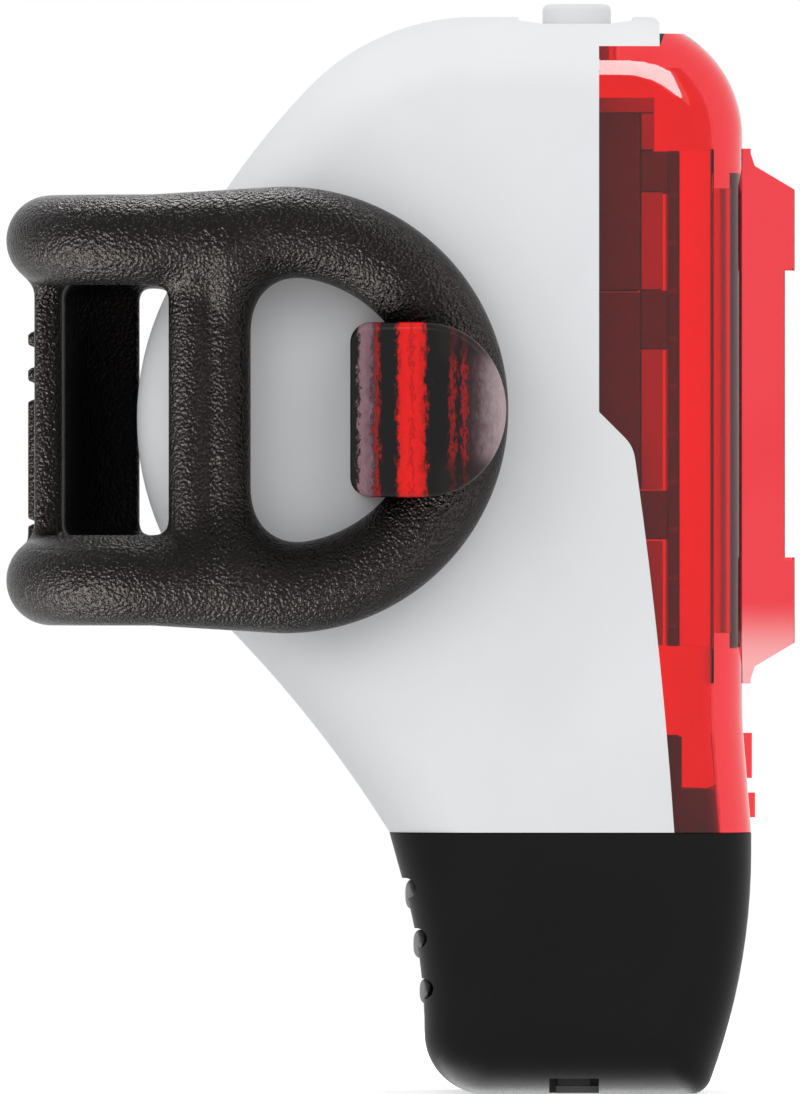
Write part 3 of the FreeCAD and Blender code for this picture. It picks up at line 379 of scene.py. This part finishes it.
def red_hook_painted_light():
    # Ruby polycarbonate of the hooks: so thick that it is nearly black, with painted light on it: upright
    # bands of light painted as shining through to its edges and of painted pinkish reflection, torn into
    # streaks, painted glints at mid height and a greyer painted rim highlight towards its tip
    made, tree, output = material("ruby_polycarbonate_painted_light")
    place = add(tree, "ShaderNodeTexCoord").outputs["Object"]
    drawn = add(tree, "ShaderNodeMapping", {"Scale": (1.0, 1.0, 0.4)}, {"Vector": place})
    tear = add(tree, "ShaderNodeTexNoise", {"Scale": per_metre(0.3), "Detail": 8.0, "Roughness": 0.85},
               {"Vector": drawn.outputs["Vector"]})
    across = add(tree, "ShaderNodeSeparateXYZ", {}, {"Vector": place})
    torn = add(tree, "ShaderNodeMath", {1: HOOK_TEAR * MM},
               {0: tear.outputs["Fac"], 2: across.outputs["X"]}, operation="MULTIPLY_ADD")
    middle = HOOK_TEAR / 2
    share = add(tree, "ShaderNodeMapRange",
                {"From Min": (HOOK_BACK_X + middle) * MM, "From Max": (HOOK_TIP_X + middle) * MM},
                {"Value": torn.outputs["Value"]})
    # Painted light: bands of painted reflection, light shining through and rim highlight along the hook
    painted_light_bands = add(tree, "ShaderNodeValToRGB", {}, {"Fac": share.outputs["Result"]})
    stops = painted_light_bands.color_ramp.elements
    stops[0].position, stops[0].color = HOOK_PAINTED_LIGHT_BANDS[0][0], linear(HOOK_PAINTED_LIGHT_BANDS[0][1])
    stops[1].position, stops[1].color = HOOK_PAINTED_LIGHT_BANDS[-1][0], linear(HOOK_PAINTED_LIGHT_BANDS[-1][1])
    for position, colour in HOOK_PAINTED_LIGHT_BANDS[1:-1]:
        stops.new(position).color = linear(colour)
    rise = add(tree, "ShaderNodeMath", {}, {0: across.outputs["Z"]}, operation="ABSOLUTE")
    ragged = add(tree, "ShaderNodeMath", {1: HOOK_TEAR * MM},
                 {0: tear.outputs["Fac"], 2: rise.outputs["Value"]}, operation="MULTIPLY_ADD")
    away = add(tree, "ShaderNodeMapRange",
               {"From Min": (HOOK_PAINTED_GLINTS_RISE[0] + middle) * MM,
                "From Max": (HOOK_PAINTED_GLINTS_RISE[1] + middle) * MM, "To Max": HOOK_DARK_SHARE},
               {"Value": ragged.outputs["Value"]}, interpolation_type="SMOOTHSTEP")
    ahead = add(tree, "ShaderNodeMapRange",
                {"From Min": HOOK_PAINTED_GLINTS_X[0] * MM, "From Max": HOOK_PAINTED_GLINTS_X[1] * MM},
                {"Value": across.outputs["X"]})
    quiet = add(tree, "ShaderNodeMath", {}, {0: away.outputs["Result"], 1: ahead.outputs["Result"]},
                operation="MULTIPLY")
    mixed = add(tree, "ShaderNodeMix", {7: linear("#1C1415")},
                {0: quiet.outputs["Value"], 6: painted_light_bands.outputs["Color"]}, data_type="RGBA")
    bump = add(tree, "ShaderNodeBump", {"Strength": 0.4, "Distance": 0.03 * MM},
               {"Height": tear.outputs["Fac"]})
    face = add(tree, "ShaderNodeBsdfPrincipled",
               {"Transmission Weight": 0.2, "Roughness": 0.12, "IOR": 1.5, "Specular IOR Level": 0.15},
               {"Base Color": mixed.outputs[2], "Normal": bump.outputs["Normal"]})
    tree.links.new(face.outputs["BSDF"], output.inputs["Surface"])
    return made


def strap_rubber():
    # Black silicone rubber with a leathery, wrinkled grain of about 0.2 mm, which sparkles where it
    # turns light towards the eye
    made, tree, output = material("black_leather_grain_rubber")
    place = add(tree, "ShaderNodeTexCoord").outputs["Object"]
    warp = add(tree, "ShaderNodeTexNoise", {"Scale": per_metre(0.6), "Detail": 2.0}, {"Vector": place})
    shifted = add(tree, "ShaderNodeVectorMath", {"Scale": 0.28 * MM}, {0: warp.outputs["Color"]},
                  operation="SCALE")
    moved = add(tree, "ShaderNodeVectorMath", {}, {0: place, 1: shifted.outputs["Vector"]}, operation="ADD")
    cells = add(tree, "ShaderNodeTexVoronoi", {"Scale": per_metre(0.18), "Randomness": 1.0},
                {"Vector": moved.outputs["Vector"]}, feature="SMOOTH_F1")
    grit = add(tree, "ShaderNodeTexNoise", {"Scale": per_metre(0.15), "Detail": 3.0, "Roughness": 0.6},
               {"Vector": place})
    height = add(tree, "ShaderNodeMath", {1: 0.6}, {0: grit.outputs["Fac"], 2: cells.outputs["Distance"]},
                 operation="MULTIPLY_ADD")
    bump = add(tree, "ShaderNodeBump", {"Strength": 1.0, "Distance": 0.12 * MM},
               {"Height": height.outputs["Value"]})
    share = add(tree, "ShaderNodeMapRange", {"From Min": 0.1, "From Max": 0.5},
                {"Value": cells.outputs["Distance"]})
    mix = add(tree, "ShaderNodeMix", {6: linear("#030303"), 7: linear("#080706")},
              {0: share.outputs["Result"]}, data_type="RGBA")
    face = add(tree, "ShaderNodeBsdfPrincipled",
               {"Roughness": 0.26, "IOR": 1.43, "Specular IOR Level": 0.18,
                "Specular Tint": linear("#FFF1EC")},
               {"Base Color": mix.outputs[2], "Normal": bump.outputs["Normal"]})
    tree.links.new(face.outputs["BSDF"], output.inputs["Surface"])
    return made


def dress_frame():
    """Gives every node of the frame its finish."""
    dark, grey, board = dark_frame_plastic(), grey_carrier_plastic(), board_laminate()
    silicone, steel, hook_painted_light = black_silicone(), plated_steel(), red_hook_painted_light()
    finishes = {
        "main_shell": white_shell_plastic(), "lens_cover": red_cover_plastic(),
        "optic_block": red_optic_plastic(), "optic_gasket": silicone,
        "power_button": white_button_rubber(), "switch_body": dark, "switch_plunger": grey,
        "switch_board": grey, "board_link": grey, "chassis_upper": dark, "chassis_lower": dark,
        "main_board": board, "board_chips": chip_epoxy(), "battery_cell": cell_wrap(),
        "battery_leads": pvc_lead(), "driver_blocks": dark, "carrier_blocks": grey, "led_board": board,
        "led_packages": lamp_ceramic(), "reflector": white_reflector_plastic(),
        "plug_collar": black_collar_plastic(), "collar_seal": silicone, "usb_plug_shell": steel,
        "usb_tongue": white_tongue_plastic(), "usb_contacts": gilt_contact(),
        "end_cap": black_cap_plastic(), "slot_insert": black_collar_plastic(),
        "strap_hook_near": hook_painted_light, "strap_hook_far": hook_painted_light, "hook_screws": steel,
    }
    for name, finish in finishes.items():
        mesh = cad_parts[name].data
        mesh.materials.clear()
        mesh.materials.append(finish)


def soft_union(first, second, reach):
    """Smaller of two distances, rounded off by up to a quarter of the reach where they come within it."""
    share = np.clip(reach - np.abs(first - second), 0.0, None) / reach
    return np.minimum(first, second) - share * share * reach / 4


def strap_line(x, side, rise):
    """Distance from the strap's centre line: the ring's circle, the slanted rail tangent to it,
    the quarter bend round the post and the straight run behind it, each where it is nearest."""
    start_x = RING_X - RING_RADIUS * math.sin(RAIL_SLANT)
    start_z = RING_RADIUS * math.cos(RAIL_SLANT)
    corner_x = STRAP_BACK_X + STRAP_CORNER
    slope = math.tan(RAIL_SLANT)
    back_z = start_z - (start_x - corner_x) * slope
    straight = STRAP_Y - STRAP_CORNER
    ring = np.hypot(np.hypot(x - RING_X, rise) - RING_RADIUS, side - STRAP_Y)
    ring = np.where(x > start_x - (rise - start_z) * slope, ring, np.inf)
    along = np.clip(x, corner_x, start_x)
    rail = np.sqrt((x - along) ** 2 + (side - STRAP_Y) ** 2
                   + ((rise - back_z - (along - corner_x) * slope) * math.cos(RAIL_SLANT)) ** 2)
    bend = np.hypot(np.hypot(x - corner_x, side - straight) - STRAP_CORNER, rise - back_z)
    bend = np.where((x < corner_x) & (side > straight), bend, np.inf)
    run = np.hypot(x - STRAP_BACK_X, rise - back_z)
    run = np.where(side < straight, run, np.inf)
    return np.minimum(np.minimum(ring, rail), np.minimum(bend, run))


def strap_bars(x, side, rise):
    """Distance from the double crossbar: two upright rods that run softly into each other."""
    high = np.clip(rise - BAR_END, 0.0, None)
    rods = [np.sqrt((x - place) ** 2 + (side - STRAP_Y) ** 2 + high ** 2) - BAR_RADIUS
            for place in BAR_PLACES]
    return soft_union(rods[0], rods[1], BAR_FILLET)


def strap_panel(x, y, rise):
    """Distance from the web behind the post and round its far side: a rounded strip, thick across
    its middle face, that is straight between the bends and follows the far one as a part circle."""
    corner_x = STRAP_BACK_X + STRAP_CORNER
    straight = STRAP_Y - STRAP_CORNER
    radius = STRAP_CORNER + PANEL_INSET
    angle = np.arctan2(y - straight, corner_x - x)
    bent = y > straight
    along = np.where(bent, straight + radius * angle, y)
    out = np.where(bent, np.hypot(x - corner_x, y - straight), corner_x - x) - radius
    end = straight + radius * PANEL_FAR_ANGLE
    middle, half = (end - straight) / 2, (end + straight) / 2
    across = np.abs(out) - PANEL_THICK / 2 + PANEL_ROUND
    length = np.abs(along - middle) - half + PANEL_ROUND
    edge = np.hypot(np.clip(across, 0, None), np.clip(length, 0, None))
    web = edge + np.minimum(np.maximum(across, length), 0) - PANEL_ROUND
    high = RING_RADIUS * math.cos(RAIL_SLANT)
    return np.maximum(web, rise - high)


def strap_grips(x, y, z):
    """Distance from the plain raised bars behind the web: boxes with rounded edges."""
    out_x = STRAP_BACK_X - PANEL_INSET - PANEL_THICK / 2 - GRIP_BAR_STAND / 2
    nearest = np.inf
    for high, low in GRIP_BARS:
        gaps = [np.abs(x - out_x) - GRIP_BAR_STAND / 2 + GRIP_BAR_ROUND,
                np.abs(y) - GRIP_BAR_WIDTH / 2 + GRIP_BAR_ROUND,
                np.abs(z - (high + low) / 2) - (high - low) / 2 + GRIP_BAR_ROUND]
        outside = np.sqrt(sum(np.clip(gap, 0, None) ** 2 for gap in gaps))
        inside = np.minimum(np.maximum(np.maximum(gaps[0], gaps[1]), gaps[2]), 0)
        nearest = np.minimum(nearest, outside + inside - GRIP_BAR_ROUND)
    return nearest


def strap_distance(x, y, z):
    """Distance from the strap's skin, negative inside: the tube round its centre line, run into
    the crossbars with wide fillets towards the ring and narrow ones behind, and into the web."""
    side, rise = np.abs(y), np.abs(z)
    tube = strap_line(x, side, rise) - STRAP_RADIUS
    ahead = np.clip((x - CROSS_FILLET_START_X) / CROSS_FILLET_SPAN, 0.0, 1.0)
    body = soft_union(tube, strap_bars(x, side, rise), CROSS_FILLET + CROSS_FILLET_GROWTH * ahead)
    body = soft_union(body, strap_panel(x, y, rise), PANEL_FILLET)
    return soft_union(body, strap_grips(x, y, z), GRIP_BAR_FILLET)


def skin(distance, low, high, step):
    """Net over the zero level of a distance: a point in each cell that the level crosses, at the mean
    of its crossings with the cell's edges, and a four-sided face round each edge that it crosses.
    Two steps down the distance then bring each point onto the level itself."""
    axes = [np.arange(a, b + step, step) for a, b in zip(low, high)]
    field = distance(*np.meshgrid(*axes, indexing="ij", sparse=True))
    cells = tuple(n - 1 for n in field.shape)
    total = np.zeros(cells + (3,))
    count = np.zeros(cells)
    crossed = []
    for axis in range(3):
        near = np.moveaxis(field, axis, 0)[:-1]
        far = np.moveaxis(field, axis, 0)[1:]
        hit = (near < 0) != (far < 0)
        index = np.argwhere(hit)
        share = near[hit] / (near[hit] - far[hit])
        index = np.insert(np.delete(index, 0, 1), axis, index[:, 0], 1)
        turned = near[hit] < 0
        place = index.astype(float)
        place[:, axis] += share
        others = [a for a in range(3) if a != axis]
        inner = np.all([(index[:, a] > 0) & (index[:, a] < cells[a]) for a in others], axis=0)
        index, place, turned = index[inner], place[inner], turned[inner]
        corners = []
        for first, second in ((1, 1), (0, 1), (0, 0), (1, 0)):
            cell = index.copy()
            cell[:, others[0]] -= first
            cell[:, others[1]] -= second
            np.add.at(total, tuple(cell.T), place)
            np.add.at(count, tuple(cell.T), 1)
            corners.append(cell)
        flip = turned if axis != 1 else ~turned
        crossed.append((corners, flip))
    used = count > 0
    number = np.full(cells, -1)
    number[used] = np.arange(used.sum())
    points = total[used] / count[used][:, None] * step + np.array(low)
    faces = []
    for corners, flip in crossed:
        quads = np.stack([number[tuple(cell.T)] for cell in corners], axis=1)
        faces.append(np.where(flip[:, None], quads, quads[:, ::-1]))
    for _ in range(2):
        value = distance(*points.T)
        ahead = [distance(*(points + shift).T) for shift in np.eye(3) * SLOPE_STEP]
        slope = np.stack([there - value for there in ahead], axis=1) / SLOPE_STEP
        points -= slope * (value / np.clip((slope ** 2).sum(1), LEAST_SLOPE, None))[:, None]
    return points, np.concatenate(faces)


def new_piece(name, points, faces, finish):
    """A smooth-shaded mesh object from points in millimetres."""
    mesh = bpy.data.meshes.new(name)
    mesh.from_pydata(points * MM, [], faces)
    mesh.polygons.foreach_set("use_smooth", np.ones(len(mesh.polygons), dtype=bool))
    mesh.materials.append(finish)
    piece = bpy.data.objects.new(name, mesh)
    bpy.context.scene.collection.objects.link(piece)
    return piece


def make_strap():
    """The strap as one run of rubber, meshed in place of its band and loop parts."""
    lows = [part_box(node)[0] for node in ("strap_band", "strap_loop")]
    highs = [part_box(node)[1] for node in ("strap_band", "strap_loop")]
    margin = 2 * SKIN_STEP
    low = [min(corner[axis] for corner in lows) / MM - margin for axis in range(3)]
    high = [max(corner[axis] for corner in highs) / MM + margin for axis in range(3)]
    points, faces = skin(strap_distance, low, high, SKIN_STEP)
    strap = new_piece("rubber_strap", points, faces, strap_rubber())
    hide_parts("strap_band", "strap_loop")
    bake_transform(strap)
    return strap


def grey_grip_painted_highlight():
    # Grey of the finger grips, a painted highlight that stands for the light caught inside the cap's
    # grooves:
    # dull, with a faint upright grain
    return moulded("grey_grip_painted_highlight", "#6E6E6E", roughness=0.55, grain=0.25, depth=0.01,
                   tone="#5A5A5A", tone_share=0.5, ior=1.43)


def make_grips():
    """Finger grips in the cap's three grooves: bars across it whose section is an oval swollen towards
    its corners, the sine and cosine each to the power of the swell, and whose half sizes shrink
    towards each end as the square root of one minus the fourth power."""
    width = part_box("end_cap")[1].y / MM - GRIP_END_GAP
    along = np.linspace(-1.0, 1.0, GRIP_RINGS)
    shrink = np.sqrt(np.clip(1.0 - along ** 4, 0.0, None))
    turn = np.linspace(0.0, 2 * math.pi, GRIP_SIDES + 1)[:-1]
    across, upward = (np.sign(wave) * np.abs(wave) ** GRIP_SWELL for wave in (np.cos(turn), np.sin(turn)))
    for number, (x, z, half_x, half_z) in enumerate(CAP_GRIPS):
        rings = [np.broadcast_arrays(x + half_x * size * across, width * place, z + half_z * size * upward)
                 for place, size in zip(along, shrink)]
        points = np.concatenate([np.stack(ring, axis=1) for ring in rings])
        grid = np.arange(len(points)).reshape(len(along), len(turn))
        low, high = grid[:-1], grid[1:]
        quads = np.stack([low, np.roll(low, -1, 1), np.roll(high, -1, 1), high], axis=-1).reshape(-1, 4)
        # Grey pieces in the grooves, whose grey is painted highlight
        grip = new_piece("finger_grip_" + str(number + 1), points, quads, grey_grip_painted_highlight())
        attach(grip, "cap")


def new_block(name, x, y, z, finish):
    """A flat-shaded box between two values on each axis, in millimetres."""
    corners = np.array([(a, b, c) for c in z for b in y for a in x])
    faces = [[0, 2, 3, 1], [4, 5, 7, 6], [0, 1, 5, 4], [2, 6, 7, 3], [0, 4, 6, 2], [1, 3, 7, 5]]
    block = new_piece(name, corners, faces, finish)
    block.data.polygons.foreach_set("use_smooth", np.zeros(len(faces), dtype=bool))
    return block


def make_slot_parts():
    """A black block of painted shade inside the slot under the cap, so that the slot reads dark, and the
    pale strip that lies in its foot.
    """
    low, high = (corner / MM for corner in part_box("slot_insert"))
    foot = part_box("end_cap")[0].z / MM + SLOT_STRIP_FOOT
    # Painted shade: a black block that stands for the shade inside the slot
    shade_block = new_block("slot_shade_block", (low.x - SLOT_SHADE_AND_STRIP_SPARE, high.x + SLOT_SHADE_AND_STRIP_SPARE),
                      (low.y + SLOT_SHADE_INSET, high.y - SLOT_SHADE_INSET),
                      (foot, high.z - SLOT_STRIP_FOOT), black_collar_plastic())
    strip = new_block("slot_strip", (low.x - SLOT_STRIP_BACK, high.x + SLOT_SHADE_AND_STRIP_SPARE),
                      (low.y + SLOT_STRIP_INSET, high.y - SLOT_STRIP_INSET),
                      (foot, low.z - SLOT_STRIP_FOOT / 2), grey_insert_plastic())
    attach(shade_block, "cap")
    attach(strip, "cap")


def make_camera():
    """A very long lens, level and square to the light's side, whose view is the photograph's."""
    data = bpy.data.cameras.new("photograph_view")
    data.lens = CAMERA_LENS
    data.sensor_width = CAMERA_SENSOR
    data.dof.use_dof = False
    view_height = PHOTO_HEIGHT / PIXELS_PER_MM
    distance = view_height * CAMERA_LENS / CAMERA_SENSOR
    data.clip_start, data.clip_end = (distance * MM * share for share in CAMERA_CLIP)
    centre_x = (PHOTO_WIDTH / 2 - ORIGIN_PIXEL_X) / PIXELS_PER_MM
    centre_z = (ORIGIN_PIXEL_Y - PHOTO_HEIGHT / 2) / PIXELS_PER_MM
    camera = bpy.data.objects.new("photograph_view", data)
    camera.location = Vector((centre_x, -distance, centre_z)) * MM
    camera.rotation_euler = (math.pi / 2, 0.0, 0.0)
    bpy.context.scene.collection.objects.link(camera)
    bpy.context.scene.camera = camera


def add_lamp(name, place, size, power, shine_on=None):
    """A soft lamp turned towards the light's middle. One that shines on a collection is seen in the
    gloss of its objects alone, and lights nothing else."""
    data = bpy.data.lights.new(name, "AREA")
    data.shape = "RECTANGLE"
    data.size, data.size_y = size
    data.energy = power
    lamp = bpy.data.objects.new(name, data)
    if shine_on:
        lamp.visible_diffuse = False
        lamp.visible_transmission = False
        lamp.light_linking.receiver_collection = shine_on
    lamp.location = place
    towards = Vector(LAMP_TARGET) - Vector(place)
    lamp.rotation_euler = towards.to_track_quat("-Z", "Y").to_euler()
    bpy.context.scene.collection.objects.link(lamp)


def seen_share(tree):
    """Node output that is 1 for rays from the camera, a mirror or clear plastic, and 0 for the rest."""
    path = add(tree, "ShaderNodeLightPath")
    seen = path.outputs["Is Camera Ray"]
    for name in ("Is Glossy Ray", "Is Transmission Ray"):
        seen = add(tree, "ShaderNodeMath", {}, {0: seen, 1: path.outputs[name]},
                   operation="MAXIMUM").outputs["Value"]
    return seen


def make_light():
    """A plain pale world that shows white behind everything, and two soft lamps in front."""
    world = bpy.data.worlds.new("pale_studio")
    world.use_nodes = True
    tree = world.node_tree
    tree.nodes.clear()
    strength = add(tree, "ShaderNodeMapRange", {"To Min": WORLD_STRENGTH, "To Max": 1.0},
                   {"Value": seen_share(tree)})
    sky = add(tree, "ShaderNodeBackground", {"Color": (1.0, 1.0, 1.0, 1.0)},
              {"Strength": strength.outputs["Result"]})
    output = add(tree, "ShaderNodeOutputWorld")
    tree.links.new(sky.outputs["Background"], output.inputs["Surface"])
    bpy.context.scene.world = world
    for lamp in FRONT_LAMPS:
        add_lamp(*lamp)


def make_shine(strap):
    """Lamps for the gloss of the strap, the cap's foot and the cover's top edge alone."""
    shines = (("strap_skin", strap, STRAP_LAMPS), ("cap_skin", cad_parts["end_cap"], CAP_LAMPS),
              ("lens_skin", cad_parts["lens_cover"], COVER_LAMPS))
    for name, piece, lamps in shines:
        group = bpy.data.collections.new(name)
        group.objects.link(piece)
        for lamp in lamps:
            add_lamp(*lamp, shine_on=group)


def make_floor():
    """A round pale floor under the cap, lit to white where no shadow falls."""
    finish, tree, output = material("pale_floor_paper")
    face = add(tree, "ShaderNodeBsdfDiffuse", {"Color": linear("#E8E8E8")})
    strength = add(tree, "ShaderNodeMapRange", {"To Max": FLOOR_GLOW}, {"Value": seen_share(tree)})
    glow = add(tree, "ShaderNodeEmission", {"Color": (1.0, 1.0, 1.0, 1.0)},
               {"Strength": strength.outputs["Result"]})
    both = add(tree, "ShaderNodeAddShader", {}, {0: face.outputs["BSDF"], 1: glow.outputs["Emission"]})
    tree.links.new(both.outputs["Shader"], output.inputs["Surface"])
    turn = np.linspace(0.0, 2 * math.pi, FLOOR_SIDES + 1)[:-1]
    height = np.full(FLOOR_SIDES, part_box("end_cap")[0].z / MM - FLOOR_GAP)
    rim = np.stack([FLOOR_RADIUS * np.cos(turn), FLOOR_RADIUS * np.sin(turn), height], axis=1)
    floor = new_piece("pale_floor", rim, [list(range(FLOOR_SIDES))], finish)
    floor.visible_glossy = False
    floor.visible_shadow = False


bpy.context.scene.view_settings.view_transform = "Standard"
make_camera()
make_light()
make_floor()
dress_frame()
strap = make_strap()
make_grips()
make_slot_parts()
make_shine(strap)
